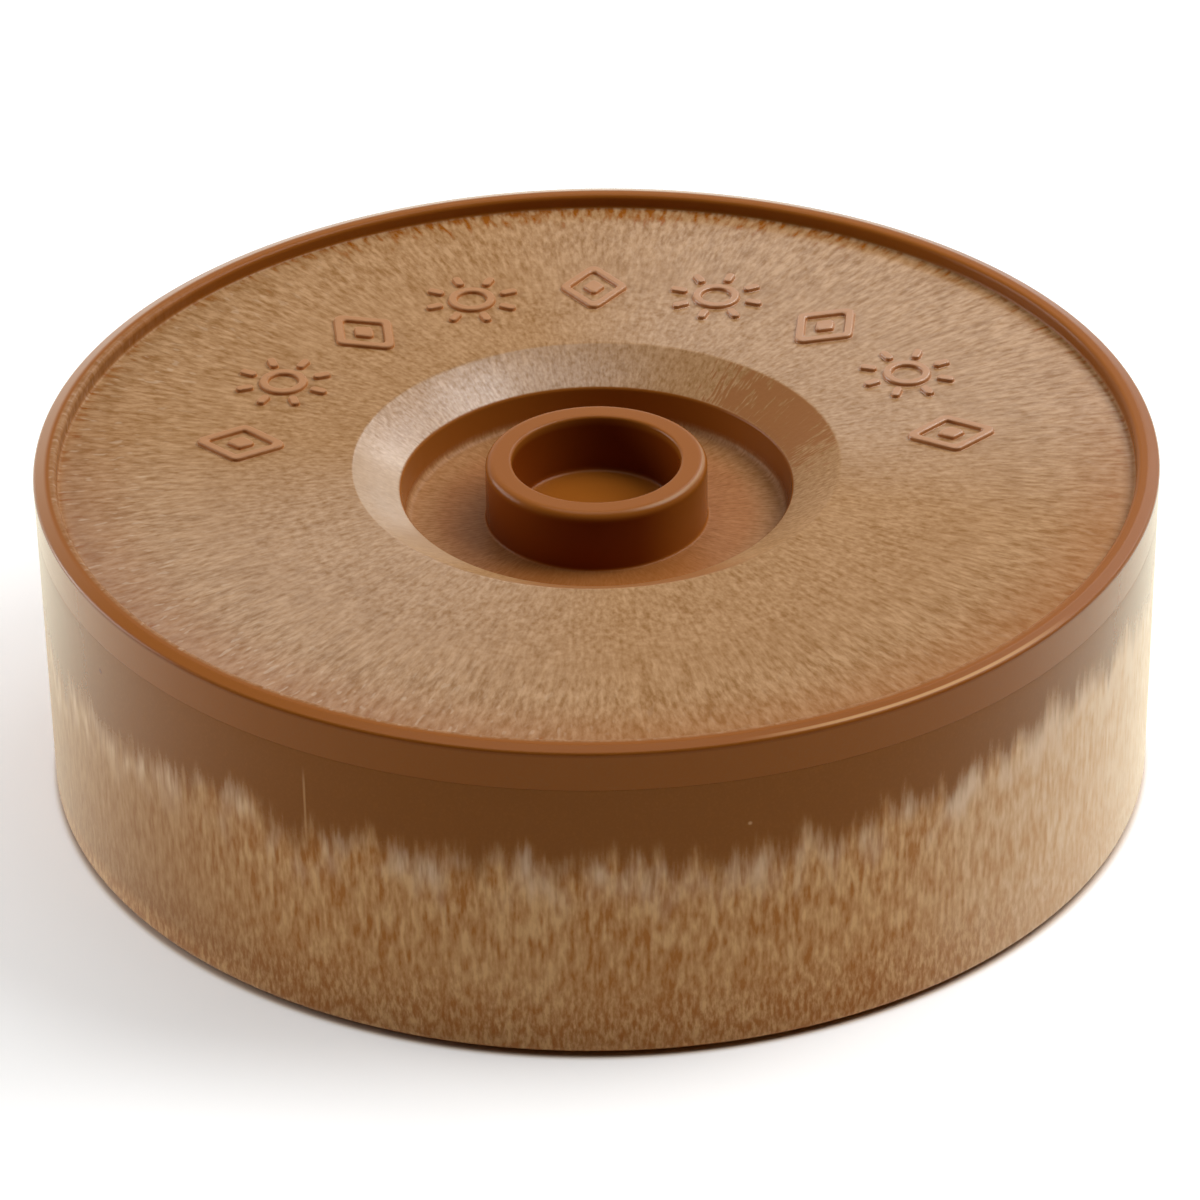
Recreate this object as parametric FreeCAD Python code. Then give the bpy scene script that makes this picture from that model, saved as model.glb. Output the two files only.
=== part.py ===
import FreeCAD, Part
import math
import os

# Round two-piece server for warm flat breads, moulded in structural foam plastic: a base bowl
# and a lift-off lid with a ring knob sunk in a finger well. Millimetres, both pieces turned
# about Z, the table at Z = 0, the row of raised ornaments on the lid towards +Y.

# ---- outside of the closed pair ----
RIM_RADIUS = 95.25       # widest circle, the outside of the lid's rim bead
BASE_HEIGHT = 51.9       # table to the base's rim, where the lid's band sits down
BAND_HEIGHT = 7.5        # lid's outer band, from its lower edge to the crown of the bead
BAND_SET_IN = 0.15       # the band and the base's rim stand this far inside the bead
BASE_TAPER = 0.7         # mould draft of the base's outside, over its whole height
SEAM_CHAMFER = 0.12      # each half of the hairline V groove between lid and base

# ---- base bowl ----
BASE_WALL = 3.8
BASE_FLOOR = 4.0
BASE_OUTER_CORNER = 1.5  # rounding round the bottom of the wall, outside
BASE_INNER_CORNER = 6.0  # rounding between the wall and the floor, inside
BASE_LIP_ROUND = 0.6     # inner edge of the rim
FOOT_HEIGHT = 0.6        # foot ring below the underside
FOOT_WIDTH = 4.4
NEST_CLEARANCE = 0.8     # foot ring inside the rim bead of a lid that it is stacked on

# ---- lid plate, bead and spigot ----
LID_PLATE = 3.8
BEAD_WIDTH = 3.9
BEAD_RISE = 2.7          # crown of the bead above the top of the plate
BEAD_CROWN_WIDTH = 1.9   # inner part of the bead, level, before its top falls outwards
BEAD_FALL = 0.55         # crown of the bead down to its outer edge
BEAD_OUTER_ROUND = 0.6
BEAD_CROWN_ROUND = 1.5   # between the level part and the falling part
BEAD_INNER_ROUND = 1.1
BEAD_ROOT_ROUND = 0.6    # between the bead's inner wall and the plate
SPIGOT_DEPTH = 5.0       # locating ring under the lid, below the seam
SPIGOT_WALL = 2.6
SPIGOT_CLEARANCE = 0.4   # radial, between the spigot and the base's wall
SPIGOT_TIP_ROUND = 0.8
UNDER_ROUND = 1.5        # inside corners under the plate

# ---- finger well ----
WELL_RIM_RADIUS = 41.5   # top of the sloping bevel round the well
WELL_BEVEL_WIDTH = 8.25
WELL_BEVEL_DROP = 4.5
WELL_DRAFT = 0.9         # the steep wall below the bevel leans in by this much
WELL_DEPTH = 10.3        # top of the plate to the well's floor
WELL_WALL = 3.8
WELL_RIM_ROUND = 1.5
WELL_EDGE_ROUND = 0.8
WELL_ROOT_ROUND = 1.2
WELL_UNDER_ROUND = 3.0

# ---- ring knob ----
KNOB_RADIUS = 18.85
KNOB_WALL = 4.45
KNOB_HEIGHT = 10.95      # above the well's floor
KNOB_EDGE_ROUND = 1.4      # outer edge of the top
KNOB_MOUTH_ROUND = 0.6     # edge of the cup
KNOB_ROOT_ROUND = 0.5
CUP_DEPTH = 10.2         # top of the knob to the floor of its cup
CUP_DRAFT = 0.9
CUP_ROOT_ROUND = 0.9

# ---- gate recess at the centre of each underside ----
GATE_RADIUS = 6.5
GATE_DEPTH = 0.6
GATE_DRAFT = 0.4

# ---- raised ornaments on the lid ----
RELIEF_COUNT = 9
RELIEF_PITCH = 20.75     # degrees between neighbours, centred on +Y
RELIEF_CIRCLE = 61.0     # radius of the row's middle line
RELIEF_HEIGHT = 0.7
RELIEF_STROKE = 1.4
DIAMOND_LENGTH = 17.0    # along the lid's radius
DIAMOND_WIDTH = 12.4
DIAMOND_HEART_LENGTH = 5.6
DIAMOND_HEART_WIDTH = 4.0
SUN_RING_RADIUS = 4.2
SUN_RAY_START = 5.4
SUN_RAY_END = 8.5
SUN_RAYS = 8

# ---- places worked out from the sizes above ----
SEAM_RADIUS = RIM_RADIUS - BAND_SET_IN
BASE_BOTTOM_RADIUS = SEAM_RADIUS - BASE_TAPER
BASE_INNER_RADIUS = SEAM_RADIUS - BASE_WALL
BEAD_INNER_RADIUS = RIM_RADIUS - BEAD_WIDTH
BEAD_RIDGE_RADIUS = BEAD_INNER_RADIUS + BEAD_CROWN_WIDTH
FOOT_OUTER_RADIUS = BEAD_INNER_RADIUS - NEST_CLEARANCE
SPIGOT_OUTER_RADIUS = BASE_INNER_RADIUS - SPIGOT_CLEARANCE
SPIGOT_INNER_RADIUS = SPIGOT_OUTER_RADIUS - SPIGOT_WALL
WELL_MOUTH_RADIUS = WELL_RIM_RADIUS - WELL_BEVEL_WIDTH
WELL_FLOOR_RADIUS = WELL_MOUTH_RADIUS - WELL_DRAFT

CROWN_Z = BASE_HEIGHT + BAND_HEIGHT
PLATE_TOP_Z = CROWN_Z - BEAD_RISE
PLATE_UNDER_Z = PLATE_TOP_Z - LID_PLATE
WELL_FLOOR_Z = PLATE_TOP_Z - WELL_DEPTH
WELL_UNDER_Z = WELL_FLOOR_Z - WELL_WALL
KNOB_TOP_Z = WELL_FLOOR_Z + KNOB_HEIGHT
CUP_FLOOR_Z = KNOB_TOP_Z - CUP_DEPTH

LONGEST_TRIM = 0.45      # a rounding uses at most this share of the shorter side beside it


def rounded_wire(corners):
    """Closed wire in the XZ plane through corners of (radius, height, rounding)."""
    points = [FreeCAD.Vector(r, 0, z) for r, z, _ in corners]
    ends = []
    for i, (_, _, rounding) in enumerate(corners):
        here = points[i]
        back = points[i - 1] - here
        ahead = points[(i + 1) % len(points)] - here
        if rounding == 0:
            ends.append((here, None, here))
            continue
        half = back.getAngle(ahead) / 2
        longest = LONGEST_TRIM * min(back.Length, ahead.Length)
        trim = min(rounding / math.tan(half), longest)
        used = trim * math.tan(half)
        back.normalize()
        ahead.normalize()
        inward = (back + ahead).normalize()
        middle = here + inward * (used / math.sin(half) - used)
        ends.append((here + back * trim, middle, here + ahead * trim))
    edges = []
    for i, (start, middle, end) in enumerate(ends):
        if middle is not None:
            edges.append(Part.Arc(start, middle, end).toShape())
        following = ends[(i + 1) % len(ends)][0]
        edges.append(Part.LineSegment(end, following).toShape())
    return Part.Wire(edges)


def turned(corners):
    """Solid of revolution about Z from a rounded outline."""
    face = Part.Face(rounded_wire(corners))
    return face.revolve(FreeCAD.Vector(0, 0, 0), FreeCAD.Vector(0, 0, 1), 360)


def gate_recess(face_z):
    """Outline corners, axis first, of the shallow round recess in an underside at face_z."""
    return [
        (0, face_z + GATE_DEPTH, 0),
        (GATE_RADIUS - GATE_DRAFT, face_z + GATE_DEPTH, 0),
        (GATE_RADIUS, face_z, 0),
    ]


def base_bowl():
    """Bowl with a drafted wall, a foot ring and a flat rim that carries the lid."""
    underside = FOOT_HEIGHT
    foot_inner = FOOT_OUTER_RADIUS - FOOT_WIDTH
    inside_floor = FOOT_HEIGHT + BASE_FLOOR
    corners = gate_recess(underside) + [
        (foot_inner, underside, 0),
        (foot_inner, 0, 0),
        (FOOT_OUTER_RADIUS, 0, 0),
        (FOOT_OUTER_RADIUS, underside, 0),
        (BASE_BOTTOM_RADIUS, underside, BASE_OUTER_CORNER),
        (SEAM_RADIUS, BASE_HEIGHT - SEAM_CHAMFER, 0),
        (SEAM_RADIUS - SEAM_CHAMFER, BASE_HEIGHT, 0),
        (BASE_INNER_RADIUS, BASE_HEIGHT, BASE_LIP_ROUND),
        (BASE_INNER_RADIUS - BASE_TAPER, inside_floor, BASE_INNER_CORNER),
        (0, inside_floor, 0),
    ]
    return turned(corners)


def lid_underside():
    """Outline corners from the axis out to the lower edge of the band."""
    well_outer = WELL_FLOOR_RADIUS + WELL_WALL
    mouth_outer = WELL_MOUTH_RADIUS + WELL_WALL
    bevel_under = PLATE_UNDER_Z - WELL_BEVEL_DROP
    rim_outer = mouth_outer + WELL_BEVEL_WIDTH
    spigot_tip = BASE_HEIGHT - SPIGOT_DEPTH
    return gate_recess(WELL_UNDER_Z) + [
        (well_outer, WELL_UNDER_Z, WELL_UNDER_ROUND),
        (mouth_outer, bevel_under, UNDER_ROUND),
        (rim_outer, PLATE_UNDER_Z, WELL_UNDER_ROUND),
        (SPIGOT_INNER_RADIUS, PLATE_UNDER_Z, UNDER_ROUND),
        (SPIGOT_INNER_RADIUS, spigot_tip, SPIGOT_TIP_ROUND),
        (SPIGOT_OUTER_RADIUS, spigot_tip, SPIGOT_TIP_ROUND),
        (SPIGOT_OUTER_RADIUS, BASE_HEIGHT, 0),
        (SEAM_RADIUS - SEAM_CHAMFER, BASE_HEIGHT, 0),
    ]


def lid_top():
    """Outline corners from the lower edge of the band up over the bead and in to the axis."""
    cup_mouth = KNOB_RADIUS - KNOB_WALL
    return [
        (SEAM_RADIUS, BASE_HEIGHT + SEAM_CHAMFER, 0),
        (RIM_RADIUS, CROWN_Z - BEAD_FALL, BEAD_OUTER_ROUND),
        (BEAD_RIDGE_RADIUS, CROWN_Z, BEAD_CROWN_ROUND),
        (BEAD_INNER_RADIUS, CROWN_Z, BEAD_INNER_ROUND),
        (BEAD_INNER_RADIUS, PLATE_TOP_Z, BEAD_ROOT_ROUND),
        (WELL_RIM_RADIUS, PLATE_TOP_Z, WELL_RIM_ROUND),
        (WELL_MOUTH_RADIUS, PLATE_TOP_Z - WELL_BEVEL_DROP, WELL_EDGE_ROUND),
        (WELL_FLOOR_RADIUS, WELL_FLOOR_Z, WELL_ROOT_ROUND),
        (KNOB_RADIUS, WELL_FLOOR_Z, KNOB_ROOT_ROUND),
        (KNOB_RADIUS, KNOB_TOP_Z, KNOB_EDGE_ROUND),
        (cup_mouth, KNOB_TOP_Z, KNOB_MOUTH_ROUND),
        (cup_mouth - CUP_DRAFT, CUP_FLOOR_Z, CUP_ROOT_ROUND),
        (0, CUP_FLOOR_Z, 0),
    ]


def raised(wire):
    """Prism on a flat outline at the origin, sunk one relief height into the plate."""
    face = Part.Face(wire)
    face.translate(FreeCAD.Vector(0, 0, PLATE_TOP_Z - RELIEF_HEIGHT))
    return face.extrude(FreeCAD.Vector(0, 0, 2 * RELIEF_HEIGHT))


def rhombus(length, width):
    """Flat four-sided wire about the origin, its length along X."""
    tips = [(length / 2, 0), (0, width / 2), (-length / 2, 0), (0, -width / 2)]
    return Part.makePolygon([FreeCAD.Vector(x, y, 0) for x, y in tips + tips[:1]])


def disc(radius):
    """Flat round wire about the origin."""
    return Part.Wire(Part.makeCircle(radius))


def diamond():
    """Outlined rhombus with a small solid one at its heart."""
    side = math.hypot(DIAMOND_LENGTH, DIAMOND_WIDTH)
    shrink = 1 - 2 * RELIEF_STROKE * side / (DIAMOND_LENGTH * DIAMOND_WIDTH)
    frame = raised(rhombus(DIAMOND_LENGTH, DIAMOND_WIDTH))
    window = raised(rhombus(DIAMOND_LENGTH * shrink, DIAMOND_WIDTH * shrink))
    return [frame.cut(window), raised(rhombus(DIAMOND_HEART_LENGTH, DIAMOND_HEART_WIDTH))]


def sun():
    """Ring with straight rays standing clear all round it."""
    hole = raised(disc(SUN_RING_RADIUS - RELIEF_STROKE))
    pieces = [raised(disc(SUN_RING_RADIUS)).cut(hole)]
    for k in range(SUN_RAYS):
        low = FreeCAD.Vector(SUN_RAY_START, -RELIEF_STROKE / 2, PLATE_TOP_Z - RELIEF_HEIGHT)
        ray = Part.makeBox(SUN_RAY_END - SUN_RAY_START, RELIEF_STROKE, 2 * RELIEF_HEIGHT, low)
        ray.rotate(FreeCAD.Vector(0, 0, 0), FreeCAD.Vector(0, 0, 1), k * 360 / SUN_RAYS)
        pieces.append(ray)
    return pieces


def relief_row():
    """Diamonds and suns in turn, on an arc centred on +Y."""
    pieces = []
    for k in range(RELIEF_COUNT):
        angle = 90 + (k - (RELIEF_COUNT - 1) / 2) * RELIEF_PITCH
        for piece in diamond() if k % 2 == 0 else sun():
            piece.translate(FreeCAD.Vector(RELIEF_CIRCLE, 0, 0))
            piece.rotate(FreeCAD.Vector(0, 0, 0), FreeCAD.Vector(0, 0, 1), angle)
            pieces.append(piece)
    return pieces


def lid():
    """Lid plate with bead, band, spigot, finger well, ring knob and raised ornaments."""
    body = turned(lid_underside() + lid_top())
    return body.multiFuse(relief_row()).removeSplitter()


def write(name, shape):
    """One STEP file for one node, after a check that the shape is one sound solid."""
    if len(shape.Solids) != 1 or not shape.isValid():
        raise RuntimeError(f"{name} is not one sound solid")
    shape.Solids[0].exportStep(f"parts/{name}.step")


os.makedirs("parts", exist_ok=True)
write("base_bowl", base_bowl())
write("lid", lid())
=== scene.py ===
import math

import bpy
import numpy as np
from bpy.props import FloatProperty, FloatVectorProperty, IntProperty, PointerProperty
from mathutils import Matrix, Vector


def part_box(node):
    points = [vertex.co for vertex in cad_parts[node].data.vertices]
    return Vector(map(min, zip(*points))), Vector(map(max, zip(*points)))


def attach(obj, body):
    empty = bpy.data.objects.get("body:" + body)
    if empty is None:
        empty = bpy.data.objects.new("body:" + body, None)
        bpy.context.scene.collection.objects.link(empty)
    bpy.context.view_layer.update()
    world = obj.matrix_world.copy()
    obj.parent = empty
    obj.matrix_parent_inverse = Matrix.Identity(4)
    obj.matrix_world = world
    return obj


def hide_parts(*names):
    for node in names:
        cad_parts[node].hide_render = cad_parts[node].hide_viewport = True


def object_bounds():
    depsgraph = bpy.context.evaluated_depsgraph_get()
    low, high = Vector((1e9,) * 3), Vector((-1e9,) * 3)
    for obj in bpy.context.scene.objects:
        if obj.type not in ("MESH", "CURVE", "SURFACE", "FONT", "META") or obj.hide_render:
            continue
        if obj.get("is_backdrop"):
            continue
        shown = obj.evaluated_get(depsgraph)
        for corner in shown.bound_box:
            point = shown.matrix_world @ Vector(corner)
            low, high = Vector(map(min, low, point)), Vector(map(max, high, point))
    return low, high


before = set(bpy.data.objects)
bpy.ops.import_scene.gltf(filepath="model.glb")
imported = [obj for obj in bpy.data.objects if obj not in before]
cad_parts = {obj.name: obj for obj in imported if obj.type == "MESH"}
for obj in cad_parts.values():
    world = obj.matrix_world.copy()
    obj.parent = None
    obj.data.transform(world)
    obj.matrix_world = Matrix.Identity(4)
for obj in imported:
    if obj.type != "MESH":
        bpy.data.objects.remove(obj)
CAD_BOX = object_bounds()

# The looks of a round two-piece server moulded in structural foam plastic: pale swirl marks fan
# out from the gate in the middle of each piece, and smooth resin lies where the flow stopped.

bl_info = {
    "name": "Foam Plastic Server",
    "version": (1, 0, 0),
    "blender": (4, 5, 0),
    "location": "3D View > Sidebar > Server",
    "description": "Builds a round lidded server of foamed plastic around its fixed frame",
    "category": "Add Mesh",
}

MM = 0.001
BOWL_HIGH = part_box("base_bowl")[1]
LID_LOW, LID_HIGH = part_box("lid")


def metres(name, description, value):
    """A length property, held in metres."""
    return FloatProperty(
        name=name, description=description, default=value, unit="LENGTH", precision=5
    )


def length(name, description, millimetres):
    """A length property that is written in millimetres and held in metres."""
    return metres(name, description, millimetres * MM)


def angle(name, description, degrees):
    """An angle property that is written in degrees and held in radians."""
    return FloatProperty(
        name=name, description=description, default=math.radians(degrees), subtype="ANGLE"
    )


def power(name, description, watts):
    """The power of a lamp."""
    return FloatProperty(name=name, description=description, default=watts, subtype="POWER")


def colour(name, description, linear):
    """A colour property, in linear red, green and blue."""
    return FloatVectorProperty(
        name=name, description=description, default=linear, subtype="COLOR", size=3, min=0, max=1
    )


# ---- sizes and finishes ------------------------


class OuterSizes(bpy.types.PropertyGroup):
    """Sizes that the bowl and the lid share."""

    rim_radius: metres("Rim radius", "Widest circle, outside the rim bead", LID_HIGH.x)
    seam_height: metres("Seam height", "Table to the joint between bowl and lid", BOWL_HIGH.z)
    crown_height: metres("Crown height", "Table to the crown of the rim bead", LID_HIGH.z)
    well_under: metres("Underside of well", "Table to the lowest face of the lid", LID_LOW.z)
    band_set_in: length("Band set-in", "How far the band stands inside the bead", 0.15)
    base_wall: length("Bowl wall", "Thickness of the bowl's wall", 3.8)
    base_taper: length("Bowl taper", "Mould draft of the bowl over its height", 0.7)
    bead_width: length("Bead width", "Width of the rim bead", 3.9)
    seam_chamfer: length("Seam chamfer", "Each half of the groove at the seam", 0.03)
    gate_radius: length("Gate radius", "Radius of the recess round each gate", 6.5)
    gate_depth: length("Gate depth", "Depth of the recess round each gate", 0.6)
    gate_draft: length("Gate draft", "Draft of the recess round each gate", 0.4)
    micro_round: length("Edge softness", "Rounding of edges that look sharp", 0.06)
    turns: IntProperty(name="Facets", description="Faces round each piece", default=320, min=64)


class BowlSizes(bpy.types.PropertyGroup):
    """Sizes of the bowl."""

    floor: length("Floor", "Thickness of the floor", 4.0)
    outer_corner: length("Outer corner", "Rounding below the wall, outside", 1.5)
    inner_corner: length("Inner corner", "Rounding between wall and floor, inside", 6.0)
    lip_round: length("Lip round", "Rounding of the rim's inner edge", 0.6)
    foot_height: length("Foot height", "Height of the foot ring", 0.6)
    foot_width: length("Foot width", "Width of the foot ring", 4.4)
    nest_clearance: length("Nest clearance", "Foot ring inside the bead of a lid below", 0.8)


class LidSizes(bpy.types.PropertyGroup):
    """Sizes of the lid."""

    plate: length("Plate", "Thickness of the lid's plate", 3.8)
    bead_rise: length("Bead rise", "Crown of the bead above the plate", 2.7)
    bead_crown_width: length("Bead crown width", "Level part of the bead's crown", 1.9)
    bead_fall: length("Bead fall", "Fall from the crown to the bead's outer edge", 0.55)
    bead_outer_round: length("Bead outer round", "Rounding of the bead's outer edge", 0.6)
    bead_crown_round: length("Bead crown round", "Rounding where the crown starts to fall", 1.5)
    bead_inner_round: length("Bead inner round", "Rounding of the bead's inner edge", 1.1)
    bead_root_round: length("Bead root round", "Fillet between bead and plate", 0.6)
    spigot_depth: length("Spigot depth", "Locating ring below the seam", 5.0)
    spigot_wall: length("Spigot wall", "Thickness of the locating ring", 2.6)
    spigot_clearance: length("Spigot clearance", "Gap between spigot and bowl", 0.4)
    spigot_tip_round: length("Spigot tip round", "Rounding of the spigot's tip", 0.8)
    under_round: length("Under round", "Fillets under the plate", 1.5)
    well_rim_radius: length("Well rim radius", "Top of the bevel round the well", 41.5)
    well_bevel_width: length("Bevel width", "Width of the bevel seen from above", 8.25)
    well_bevel_drop: length("Bevel drop", "Height of the bevel", 4.5)
    well_draft: length("Well draft", "Lean of the well's wall", 0.9)
    well_depth: length("Well depth", "Plate to the floor of the well", 10.3)
    well_wall: length("Well wall", "Thickness of the well's wall and floor", 3.8)
    well_rim_round: length("Well rim round", "Rounding where the plate turns down", 1.5)
    well_edge_round: length("Well edge round", "Rounding below the bevel", 0.8)
    well_root_round: length("Well root round", "Fillet round the well's floor", 1.2)
    well_under_round: length("Well under round", "Roundings below the well and its bevel", 3.0)
    knob_radius: length("Knob radius", "Outside of the ring knob", 18.85)
    knob_wall: length("Knob wall", "Thickness of the ring", 4.45)
    knob_height: length("Knob height", "Ring above the floor of the well", 10.95)
    knob_edge_round: length("Knob edge round", "Rounding of the ring's outer edge", 1.4)
    knob_mouth_round: length("Knob mouth round", "Rounding of the edge of its cup", 0.6)
    knob_root_round: length("Knob root round", "Fillet round the ring's foot", 0.5)
    cup_depth: length("Cup depth", "Top of the ring to the floor of its cup", 10.2)
    cup_draft: length("Cup draft", "Draft of the cup's wall", 0.9)
    cup_root_round: length("Cup root round", "Fillet round the cup's floor", 0.9)


class ReliefSizes(bpy.types.PropertyGroup):
    """Sizes of the raised ornaments on the lid."""

    count: IntProperty(name="Count", description="Ornaments in the row", default=9, min=1)
    pitch: angle("Pitch", "Angle between neighbours", 20.75)
    circle: length("Circle", "Radius of the row's middle line", 61.0)
    height: length("Height", "Height above the plate", 0.7)
    stroke: length("Stroke", "Width of the raised lines", 1.6)
    draft: length("Draft", "Lean of the sides of each line", 0.08)
    edge_round: length("Edge round", "Rounding along the top of each line", 0.55)
    root_round: length("Root round", "Fillet along the foot of each line", 0.28)
    corner_round: length("Corner round", "Rounding of the corners, seen from above", 0.7)
    sink: length("Sink", "How far each foot reaches into the plate", 0.02)
    diamond_length: length("Diamond length", "Along the lid's radius", 17.0)
    diamond_width: length("Diamond width", "Across the lid's radius", 12.4)
    heart_length: length("Heart length", "Solid diamond in the middle, along the radius", 5.6)
    heart_width: length("Heart width", "Solid diamond in the middle, across", 4.0)
    ring_radius: length("Ring radius", "Outside of the sun's ring", 4.2)
    ray_start: length("Ray start", "Middle of the sun to the start of a ray", 5.4)
    ray_end: length("Ray end", "Middle of the sun to the end of a ray", 8.5)
    rays: IntProperty(name="Rays", description="Rays round each sun", default=8, min=3)


class FoamFinish(bpy.types.PropertyGroup):
    """Colours of the foamed plastic, and of the highlights and shade painted on it."""

    resin: colour("Resin", "Smooth skin where no gas marks show", (0.30, 0.090, 0.010))
    foam_dark: colour("Foam dark", "Dark side of the swirl marks", (0.265, 0.120, 0.032))
    # Also the colour of a painted highlight on the knob's outer edge.
    foam_light: colour("Foam light", "Pale side of the swirl marks", (0.485, 0.280, 0.136))
    # Also painted shade along the bottom of the bowl's wall.
    bowl_resin: colour("Bowl resin", "Smooth skin along the top of the bowl", (0.25, 0.078, 0.007))
    bowl_dark: colour("Bowl foam dark", "Dark side of the bowl's swirl marks", (0.43, 0.155, 0.028))
    # Also the colour of a painted highlight on the lid's bead.
    bowl_light: colour("Bowl foam light", "Pale side of the bowl's marks", (0.74, 0.43, 0.19))
    # Painted light: paler foam on the right of the bowl, where the key light falls.
    bowl_pale_lit: colour("Bowl foam pale", "Thinner, paler foam on one side", (0.80, 0.60, 0.42))
    # Also the colour of painted highlights on the lid's bevel and on the bead's ridge.
    tips: colour("Tips", "Whitish ends of the swirl marks", (0.72, 0.54, 0.38))
    bowl_tips: colour("Bowl tips", "Pale ends of the marks on the bowl", (0.78, 0.54, 0.35))
    # Painted shade: darker colour on the left of the bowl's wall.
    bowl_left_shade: colour("Bowl deep", "Denser foam on one side of the bowl", (0.30, 0.135, 0.045))
    # Painted shade and highlight: the sides of the raised lines are tinted as shaded, and their
    # tops paler as lit.
    relief_side_shade: colour("Relief side", "Sides of the raised lines", (0.52, 0.19, 0.05))
    relief_top_highlight: colour("Relief top", "Tops of the raised lines", (0.44, 0.225, 0.11))
    rust: colour("Rust", "Reddish mottling low on the bowl's wall", (0.40, 0.13, 0.025))
    well_dark: colour("Well dark", "Dark side of the marks in the well", (0.24, 0.085, 0.020))
    well_light: colour("Well light", "Pale side of the marks in the well", (0.41, 0.175, 0.066))
    bevel_plain: colour("Bevel plain", "Smooth stretches of the bevel", (0.30, 0.120, 0.038))
    # Painted shade: the steep sides of the knob and its cup, and a line below the bead's edge, take
    # this darker copy of the resin. It is also the colour of one dark fleck on the bowl.
    shade: colour("Shade", "Deep skin on the steep sides of the knob", (0.19, 0.038, 0.003))
    front_height: length("Flow front", "Height that the swirl marks reach", 37.5)
    front_tilt: length("Flow front tilt", "How much higher they reach on one side", 5.5)
    front_azimuth: angle("Flow front side", "Direction in which they reach highest", -10)


class StageSettings(bpy.types.PropertyGroup):
    """Camera, lamps and floor."""

    distance: length("Distance", "Camera to the middle of the rim", 1129.0)
    elevation: angle("Elevation", "Camera above the horizon", 30.0762)
    tilt: angle("Tilt", "Turn of the view upwards", -1.2682)
    pan: angle("Pan", "Turn of the view to the right", 0.0150)
    roll: angle("Roll", "Turn of the camera about its view", -0.8159)
    lens: FloatProperty(
        name="Lens", description="Focal length in millimetres, on a 36 mm sensor", default=199.9087,
    )
    key_power: power("Key power", "Large soft lamp on the right", 9.5)
    back_power: power("Back power", "Soft lamp behind on the right", 2.6)
    top_power: power("Top power", "Large soft lamp overhead", 5.0)
    fill_power: power("Fill power", "Low soft lamp on the left", 5.5)
    mirrored: FloatProperty(
        name="Mirrored walls", description="Brightness of the room in reflections", default=1.0,
    )
    glow: FloatProperty(
        name="Floor glow", description="Floor's own light, as the camera sees it", default=0.36,
    )


# ---- meshes ------------------------

LONGEST_TRIM = 0.45  # a rounding uses at most this share of the shorter side beside it
GUARD = 0.04  # share of a side between the end of an arc and the point that keeps the side flat
BOSS_DEPTH = 0.7  # how far in the edge of a solid boss reaches, as a share of half its width
FLOOR_HALF = 3.0  # metres
PLASTICS = {"base": ("bowl_foam", "bowl_plastic"), "lid": ("lid_foam", "lid_plastic")}


def unit(vectors):
    """Each vector over its own length."""
    return vectors / np.linalg.norm(vectors, axis=-1, keepdims=True)


def corner_arcs(before, at, after, rounding, steps):
    """Arcs that round corners: each touches both sides of its corner, so its centre lies on the
    bisector, and its radius is cut down where a side is too short to hold it. Points between the
    two ends come from turning one spoke into the other by equal angles."""
    back, ahead = before - at, after - at
    shorter = np.minimum(np.linalg.norm(back, axis=-1), np.linalg.norm(ahead, axis=-1))
    back, ahead = unit(back), unit(ahead)
    half = np.arccos(np.clip(np.sum(back * ahead, axis=-1), -1, 1)) / 2
    trim = np.minimum(rounding / np.tan(half), LONGEST_TRIM * shorter)
    radius = trim * np.tan(half)
    centre = at + unit(back + ahead) * (radius / np.sin(half))[..., None]
    start = (at + back * trim[..., None] - centre)[..., None, :]
    end = (at + ahead * trim[..., None] - centre)[..., None, :]
    turn = (math.pi - 2 * half)[..., None, None]
    share = np.linspace(0, 1, steps)[:, None]
    spokes = (np.sin((1 - share) * turn) * start + np.sin(share * turn) * end) / np.sin(turn)
    return centre[..., None, :] + spokes


def outline(corners, softness, steps=8):
    """Points along an open outline of (radius, height, rounding) corners. Every inner corner is an
    arc with at least the given softness, and a guard point close to each end of every arc keeps
    the long faces flat when they are shaded smooth."""
    corners = np.array(corners, float)
    points = corners[:, :2]
    before, at, after = points[:-2], points[1:-1], points[2:]
    arcs = corner_arcs(before, at, after, np.maximum(corners[1:-1, 2], softness), steps)
    first = arcs[:, :1] + GUARD * (before - at)[:, None]
    last = arcs[:, -1:] + GUARD * (after - at)[:, None]
    inner = np.concatenate([first, arcs, last], axis=1).reshape(-1, 2)
    return np.concatenate([points[:1], inner, points[-1:]])


def grid_faces(rows, columns, close_rows):
    """Quads of a grid whose columns run round, and whose rows do too if close_rows is true."""
    row = np.arange(rows if close_rows else rows - 1)[:, None]
    column = np.arange(columns)[None, :]
    up, round_ = (row + 1) % rows, (column + 1) % columns
    low, high = row * columns, up * columns
    quads = [low + column, low + round_, high + round_, high + column]
    return np.stack(quads, axis=-1).reshape(-1, 4).tolist()


def finished(name, points, faces, body):
    """A smooth-shaded object at the origin, in its body's plastic, that rides on that body."""
    material, slot = PLASTICS[body]
    mesh = bpy.data.meshes.new(name)
    mesh.from_pydata(points, [], faces)
    mesh.polygons.foreach_set("use_smooth", np.ones(len(mesh.polygons), bool))
    mesh.materials.append(bpy.data.materials[material])
    mesh.update()
    piece = bpy.data.objects.new(name, mesh)
    bpy.context.scene.collection.objects.link(piece)
    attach(piece, body)
    return piece


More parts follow.
